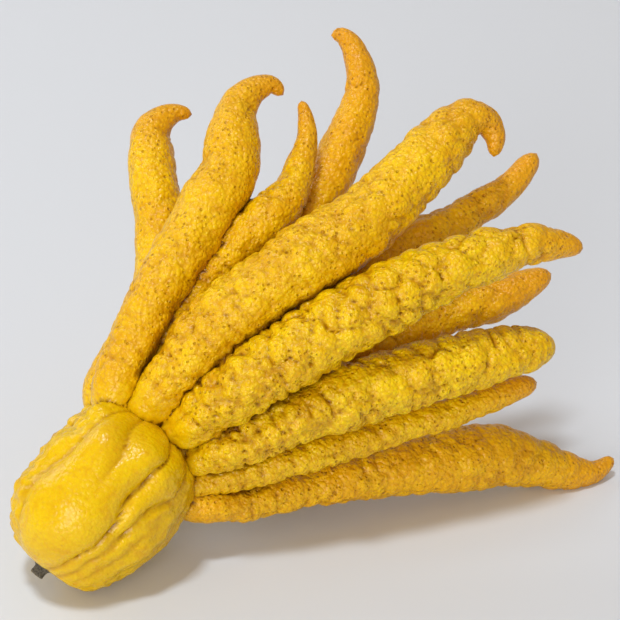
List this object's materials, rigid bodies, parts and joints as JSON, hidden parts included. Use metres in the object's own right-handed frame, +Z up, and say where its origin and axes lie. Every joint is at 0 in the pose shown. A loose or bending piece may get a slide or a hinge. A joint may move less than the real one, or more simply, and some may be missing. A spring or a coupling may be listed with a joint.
{
  "type": "buddhas hand citron",
  "caption": "Whole fingered citron lying as picked: a ribbed round palm that splits into a fan of long, tapering, curled fingers, with a dried stem button at its base.",
  "frame": {"origin": "middle of the fruit's footprint, on the surface it lies on", "axes": "+Z up; +X to the right along the fan, from the palm towards the fingertips; +Y from the fan's front towards its back"},
  "size_m": [0.2345, 0.1819, 0.1703],
  "materials": {
    "rind": "waxy, pitted citrus rind",
    "dry_stem": "dry, fibrous"
  },
  "bodies": {
    "root": {"fruit": "rind", "stem_button": "dry_stem"}
  },
  "joints": []
}
